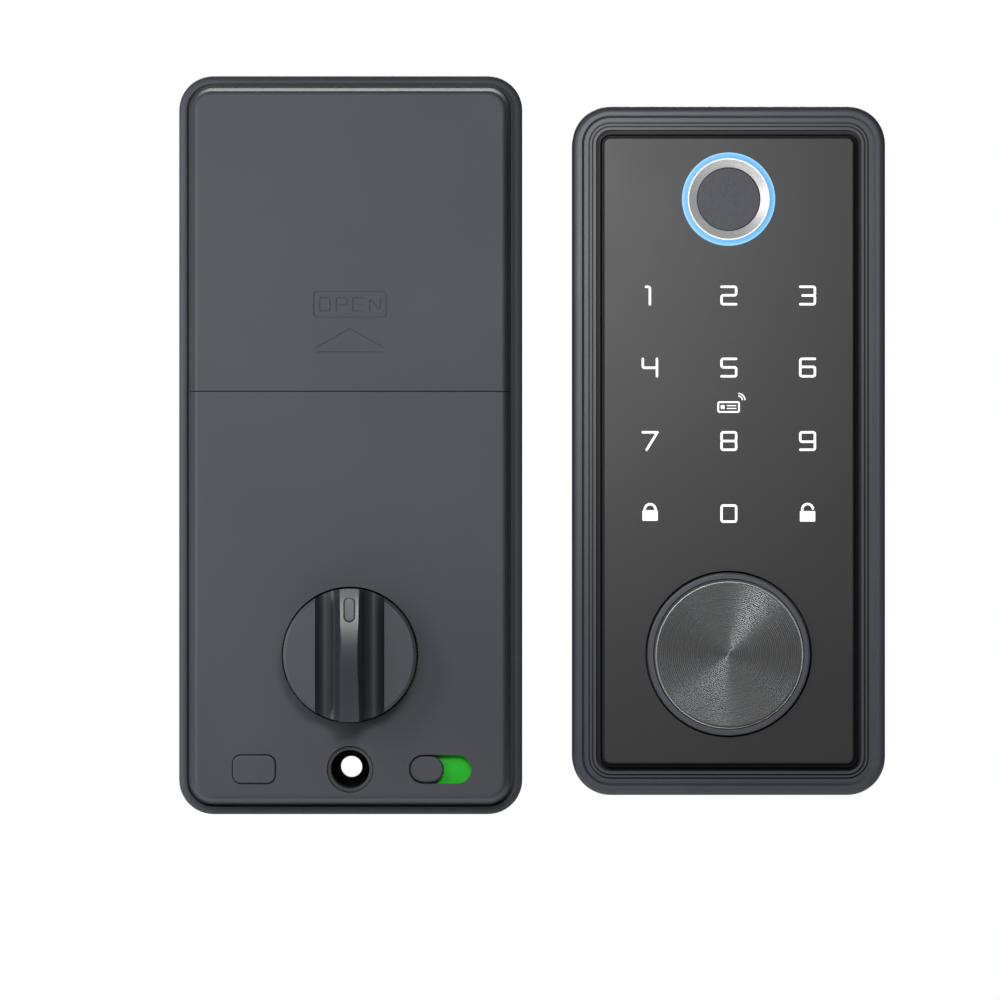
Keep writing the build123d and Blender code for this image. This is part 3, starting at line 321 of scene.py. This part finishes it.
# %% Turned disc finish
material, tree, shader = new_finish("turned_dyed_aluminium", Metallic=0.6, Anisotropic=0.9)
place = add(tree, "TexCoord").outputs["Object"]
flat = add(tree, "VectorMath", {0: place, 1: (1, 0, 1)}, operation="MULTIPLY")
radius = add(tree, "VectorMath", {0: flat.outputs["Vector"]}, operation="LENGTH")
FEED = 0.18 * MM                              # the lathe's feed, one mark for each turn
rings = add(tree, "TexNoise", {"W": radius.outputs["Value"], "Scale": 1 / FEED, "Detail": 1.0},
            noise_dimensions="1D")
tint = shades(tree, rings.outputs["Fac"], ((0.3, "#727374"), (0.7, "#868788")))
gloss = add(tree, "MapRange", {"Value": rings.outputs["Fac"], "To Min": 0.23, "To Max": 0.29})
tangent = add(tree, "Tangent", direction_type="RADIAL", axis="Y")
fill(tree, shader, {"Base Color": tint, "Roughness": gloss.outputs["Result"],
                    "Tangent": tangent.outputs["Tangent"]})
finishes["cap_disc_metal"] = material

# %% [markdown]
# ## Moulded plastics and rubber
# Moulded pieces copy the mould's skin, which is often lightly sparked so that it looks even.
# Acetal gears are milky, sockets are ivory nylon, and the tray and switches are black. They
# differ in colour, gloss and how much light goes a little way in, so one function takes those.

# %% Plastics and rubber


def moulded(name, colour, roughness, spark=0.25 * MM, depth=0.0, ior=1.5):
    """Moulded plastic or rubber with a sparked skin. depth lets light a little way in."""
    material, tree, shader = new_finish(name, IOR=ior, Subsurface_Weight=0.3 if depth else 0.0,
                                        Subsurface_Scale=depth)
    tone = linear(colour)
    shaded = (*[0.86 * c for c in tone[:3]], 1.0)        # where the plastic flowed last
    place = add(tree, "TexCoord").outputs["Object"]
    skin = add(tree, "TexVoronoi", {"Vector": place, "Scale": 1 / spark})
    flow = add(tree, "TexNoise", {"Vector": place, "Scale": 1 / (9 * MM), "Detail": 2.0})
    shade = add(tree, "MixRGB", {"Fac": flow.outputs["Fac"], "Color1": tone, "Color2": shaded})
    gloss = add(tree, "MapRange", {"Value": skin.outputs["Distance"], "To Min": roughness,
                                   "To Max": roughness + 0.1})
    bump = add(tree, "Bump", {"Height": skin.outputs["Distance"], "Distance": 0.006 * MM})
    fill(tree, shader, {"Base Color": shade.outputs["Color"], "Roughness": gloss.outputs["Result"],
                        "Normal": bump.outputs["Normal"]})
    return material


finishes |= {
    "gear_plastic": moulded("moulded_acetal_gear", "#e6e2d4", 0.32, depth=0.8 * MM, ior=1.48),
    "socket_plastic": moulded("moulded_nylon_socket", "#e4ddc4", 0.4, depth=0.5 * MM, ior=1.53),
    "light_guide_plastic": moulded("diffusing_polycarbonate", "#eceded", 0.25, depth=1.5 * MM,
                                    ior=1.58),
    "black_plastic": moulded("moulded_abs_black", "#232428", 0.45, ior=1.53),
    "rubber": moulded("moulded_silicone_rubber", "#26272a", 0.7, spark=0.5 * MM, ior=1.41),
    # A coated sensor: a cool grey, smooth and nearly matt, so a fingertip slides on it.
    "sensor_cover": moulded("coated_sensor_glass", "#50525b", 0.42, spark=0.5 * MM, ior=1.5),
    "marker_ink": moulded("marker_inlay", "#73767f", 0.3, ior=1.49),
    "label_green": moulded("printed_film_green", "#00da0a", 0.4, spark=0.6 * MM),
}
print("finishes so far:", len(finishes))

# %% [markdown]
# ## Circuit boards
# A board is glass cloth and resin under green solder mask. The copper tracks below lift the mask
# and show as paler lines, and the chips are black resin. A brick pattern drawn flat on the board
# gives long straight tracks. Chips are part of the same solid as their board, so the depth
# from the door, which is Y, tells the shader where board ends and chip begins.

# %% Circuit boards
CHIPS_IN_FRONT, CHIPS_BEHIND = -23.65 * MM, -7.95 * MM      # chips lie outside these depths
material, tree, shader = new_finish("solder_mask_green", IOR=1.5, Roughness=0.35)
place = add(tree, "TexCoord").outputs["Object"]
axes = add(tree, "SeparateXYZ", {"Vector": place})
on_board = add(tree, "CombineXYZ", {"X": axes.outputs["X"], "Y": axes.outputs["Z"]})
tracks = add(tree, "TexBrick", {"Vector": on_board.outputs["Vector"], "Scale": 1 / MM,
                                "Color1": linear("#0c5a2c"), "Color2": linear("#0a4f27"),
                                "Mortar": linear("#3d8c4f"), "Mortar Size": 0.12,
                                "Brick Width": 6.0, "Row Height": 0.9})
ahead = add(tree, "Math", {0: axes.outputs["Y"], 1: CHIPS_IN_FRONT}, operation="LESS_THAN")
behind = add(tree, "Math", {0: axes.outputs["Y"], 1: CHIPS_BEHIND}, operation="GREATER_THAN")
is_chip = add(tree, "Math", {0: ahead.outputs["Value"], 1: behind.outputs["Value"]},
              operation="MAXIMUM")
board = add(tree, "MixRGB", {"Fac": is_chip.outputs["Value"], "Color1": tracks.outputs["Color"],
                             "Color2": linear("#1d1d1f")})
relief = add(tree, "Bump", {"Height": tracks.outputs["Fac"], "Distance": 0.03 * MM})
fill(tree, shader, {"Base Color": board.outputs["Color"], "Normal": relief.outputs["Normal"]})
finishes["circuit_board"] = material

# %% [markdown]
# ## Batteries
# An alkaline cell is a steel can in a printed shrink film. Bare steel shows at both ends, and a
# band of a second colour marks the positive end. The four cells stand side by side and
# every second one is upside down, so the shader first works out which way up a cell is from its
# place along X, then measures the height from the cell's own flat end.

# %% Batteries
CELL_PITCH = 14.9 * MM                        # from one cell's axis to the next
CELL_HEIGHT = 50 * MM
FLAT_LOW, FLAT_HIGH = 67.7 * MM, 110.9 * MM   # the flat end of a cell upright, and turned over
FILM_START, BAND_START, BAND_END = 0.018, 0.70, 0.965       # shares of the height
row_middle, _ = middle_of("thumbturn")        # the four cells lie two each side of this
material, tree, shader = new_finish("printed_shrink_film", IOR=1.5)
place = add(tree, "TexCoord").outputs["Object"]
axes = add(tree, "SeparateXYZ", {"Vector": place})
row_left = row_middle.x - 2 * CELL_PITCH
shifted = add(tree, "Math", {0: axes.outputs["X"], 1: row_left}, operation="SUBTRACT")
counted = add(tree, "Math", {0: shifted.outputs["Value"], 1: CELL_PITCH}, operation="DIVIDE")
number = add(tree, "Math", {0: counted.outputs["Value"]}, operation="FLOOR")
turned = add(tree, "Math", {0: number.outputs["Value"], 1: 2.0}, operation="MODULO")
upright = add(tree, "Math", {0: axes.outputs["Z"], 1: FLAT_LOW}, operation="SUBTRACT")
upside = add(tree, "Math", {0: FLAT_HIGH, 1: axes.outputs["Z"]}, operation="SUBTRACT")
height = add(tree, "Mix", {"Factor": turned.outputs["Value"], "A": upright.outputs["Value"],
                           "B": upside.outputs["Value"]}, data_type="FLOAT")
along = add(tree, "MapRange", {"Value": height.outputs["Result"], "From Max": CELL_HEIGHT})
share = along.outputs["Result"]
printed = shades(tree, share, ((0, "#b9bbbd"), (FILM_START, "#1c2b44"), (BAND_START, "#c9ced6"),
                               (BAND_START + 0.025, "#3d6a9a"), (BAND_END, "#b9bbbd")),
                 blend="CONSTANT")
below = add(tree, "Math", {0: share, 1: FILM_START}, operation="LESS_THAN")
above = add(tree, "Math", {0: share, 1: BAND_END}, operation="GREATER_THAN")
bare = add(tree, "Math", {0: below.outputs["Value"], 1: above.outputs["Value"]},
           operation="MAXIMUM")
wrinkle = add(tree, "TexNoise", {"Vector": place, "Scale": 1 / (4 * MM), "Detail": 3.0})
gloss = add(tree, "MapRange", {"Value": wrinkle.outputs["Fac"], "To Min": 0.2, "To Max": 0.34})
bump = add(tree, "Bump", {"Height": wrinkle.outputs["Fac"], "Distance": 0.03 * MM})
fill(tree, shader, {"Base Color": printed, "Metallic": bare.outputs["Value"],
                    "Roughness": gloss.outputs["Result"], "Normal": bump.outputs["Normal"]})
finishes["battery_jacket"] = material

# %% [markdown]
# ## Give every CAD piece its finish
# The record says which material slot each CAD piece belongs to, so a loop can do the painting.
# Only the material slots change. The shapes stay exactly as they were made. Smooth shading is
# already stored in the meshes.

# %% Paint the CAD pieces
for part in frame["record"]["subparts"]:
    mesh = frame["nodes"][part["node"]].data
    mesh.materials.clear()
    mesh.materials.append(finishes[part["material_slot"]])

# %% [markdown]
# ## The turned disc
# On the real cap a thin aluminium disc sits in the painted rim. Its face was cut on a lathe into
# about forty round grooves. The CAD disc is plain, because grooves that fine would only slow it
# down. A flat disc with a bump pattern could fake them, but its outline and its shading would not
# agree from the side, so the grooves are modelled: one zigzag profile from the centre to the
# edge, carried round the axis, which is what a lathe does. The two slopes of a groove look
# two ways, so each one catches a lamp on its own side and the pair draws a bright fan.

# %% The turned disc
GROOVE_PITCH = 0.42 * MM
GROOVE_SLOPE = radians(19)
STEPS_ROUND = 240                             # points round the disc
EDGE_CHAMFER = 0.2 * MM


def turned_profile(radius, front, back):
    """Radius and depth of each point from the centre of the face to the back of the edge."""
    depth = GROOVE_PITCH / 2 * tan(GROOVE_SLOPE)
    count = 2 * int((radius - EDGE_CHAMFER) / GROOVE_PITCH)
    profile = [(i * GROOVE_PITCH / 2, front + depth * (i % 2)) for i in range(1, count)]
    edge = [(radius - EDGE_CHAMFER, front), (radius, front + EDGE_CHAMFER), (radius, back)]
    return profile + edge


def turned_disc(name, node):
    """Lathe the grooved disc in the space of a plain CAD disc whose axis is Y."""
    centre, half = middle_of(node)
    front, back = centre.y - half.y, centre.y + half.y
    turns = [(cos(tau * i / STEPS_ROUND), sin(tau * i / STEPS_ROUND)) for i in range(STEPS_ROUND)]
    shape = bmesh.new()
    tip = shape.verts.new((centre.x, front, centre.z))
    rings = [[shape.verts.new((centre.x + r * c, y, centre.z + r * s)) for c, s in turns]
             for r, y in turned_profile(half.x, front, back)]
    for i in range(STEPS_ROUND):
        j = (i + 1) % STEPS_ROUND
        shape.faces.new((tip, rings[0][i], rings[0][j]))
        for inner, outer in zip(rings, rings[1:]):
            shape.faces.new((inner[i], outer[i], outer[j], inner[j]))
    shape.faces.new(rings[-1])
    bmesh.ops.recalc_face_normals(shape, faces=shape.faces)
    mesh = bpy.data.meshes.new(name)
    shape.to_mesh(mesh)
    shape.free()
    mesh.materials.append(finishes["cap_disc_metal"])
    mesh.shade_smooth()
    mesh.set_sharp_from_angle(angle=radians(35))
    piece = bpy.data.objects.new(name, mesh)
    bpy.context.scene.collection.objects.link(piece)
    return piece


cap_disc = turned_disc("turned_cap_disc", "keyhole_cap_disc")
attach(cap_disc, "keyhole_cap")
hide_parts("keyhole_cap_disc")
print("turned disc:", len(cap_disc.data.polygons), "faces")

# %% [markdown]
# ## Floor
# The pair hangs clear of a plain pale floor, as it would for a catalogue. The floor is one flat
# sheet with a faint grain, so that its soft shadow does not look like empty space.

# %% Floor
FLOOR_Z = -135 * MM
FLOOR_HALF = 1.3                              # metres
shape = bmesh.new()
bmesh.ops.create_grid(shape, x_segments=8, y_segments=8, size=FLOOR_HALF)
mesh = bpy.data.meshes.new("studio_floor")
shape.to_mesh(mesh)
shape.free()
floor = bpy.data.objects.new("studio_floor", mesh)
floor.location = (-50 * MM, 0, FLOOR_Z)
bpy.context.scene.collection.objects.link(floor)
material, tree, shader = new_finish("pale_studio_paper", Roughness=0.8)
place = add(tree, "TexCoord").outputs["Object"]
fibre = add(tree, "TexNoise", {"Vector": place, "Scale": 1 / (3 * MM), "Detail": 3.0})
paper = shades(tree, fibre.outputs["Fac"], ((0, "#e9e9e8"), (1, "#f1f1f0")))
fill(tree, shader, {"Base Color": paper})
mesh.materials.append(material)
print("floor at", round(FLOOR_Z / MM), "mm")

# %% [markdown]
# ## Camera
# A very long lens from nearly three metres away keeps both units square, as in a catalogue
# picture, with hardly any perspective. The distance follows from the width that has to fit.

# %% Camera
FRAME_WIDTH = 217.4 * MM                      # what the picture's width has to hold
AIM = Vector((-49.8, -25, 33.55)) * MM
camera = bpy.data.objects.new("catalogue_camera", bpy.data.cameras.new("catalogue_camera"))
camera.data.lens, camera.data.sensor_width = 450, 36
distance = FRAME_WIDTH * camera.data.lens / camera.data.sensor_width
camera.location = AIM + Vector((0, -distance, 0))
camera.rotation_euler = (pi / 2, 0, 0)
camera.data.clip_start, camera.data.clip_end = 0.05, 20
bpy.context.scene.collection.objects.link(camera)
bpy.context.scene.camera = camera
bpy.context.scene.view_settings.view_transform = "Standard"
print("camera distance:", round(distance, 3), "m")

# %% [markdown]
# ## Lights
# Satin enamel shows where it faces a lamp by a broad soft glow, so each glow needs a lamp of its
# own. Two small soft boxes stand in front, a little above the object. Their light falls off
# quickly with distance, so each plate fades from the side near its lamp to the far corner. A box
# near the left makes the inside unit fade from left to right. A tall narrow strip far to the left
# grazes the rounded edges and draws thin bright lines along them, which part black from black.
# A small lamp high on the right lies where the turned disc's grooves reflect it as two bright
# fans. The last box is for whoever walks round the object: it stands behind, and high enough
# that the bare steel plates there do not mirror it as a burnt-out patch.

# %% Lights


PAIR_MIDDLE = (-50, -25, 45)                  # mm


def softbox(name, place, width, height, power, aim=PAIR_MIDDLE):
    """A rectangular area light in watts, at a place in mm, that looks at another place in mm."""
    lamp = bpy.data.lights.new(name, "AREA")
    lamp.shape, lamp.size, lamp.size_y, lamp.energy = "RECTANGLE", width * MM, height * MM, power
    light = bpy.data.objects.new(name, lamp)
    light.location = Vector(place) * MM
    way = Vector(aim) * MM - light.location
    light.rotation_euler = way.to_track_quat("-Z", "Y").to_euler()
    bpy.context.scene.collection.objects.link(light)


softbox("glow_on_panels", (-50, -340, 110), 80, 80, 0.335)
softbox("glow_on_covers", (-130, -330, 90), 70, 70, 0.095)
softbox("glow_from_left", (-230, -200, 120), 60, 160, 0.17)
softbox("edge_strip_left", (-420, -120, 60), 40, 260, 0.54)
softbox("fan_upper_right", (118, -320, 214), 22, 22, 0.06, aim=(0, -20, 0))
softbox("back_fill", (-50, 700, 650), 600, 400, 6.0)

# The room itself is dim grey, so edges turned away from the lamps fall dark. Only the view past
# the object is white.
world = bpy.data.worlds.new("dim_room")
bpy.context.scene.world = world
world.use_nodes = True
tree = world.node_tree
tree.nodes.clear()
seen = add(tree, "LightPath").outputs["Is Camera Ray"]
room = add(tree, "MixRGB", {"Fac": seen, "Color1": linear("#313134"),
                            "Color2": linear("#ffffff")})
air = add(tree, "Background", {"Color": room.outputs["Color"], "Strength": 1.0})
add(tree, "OutputWorld", {"Surface": air.outputs["Background"]})
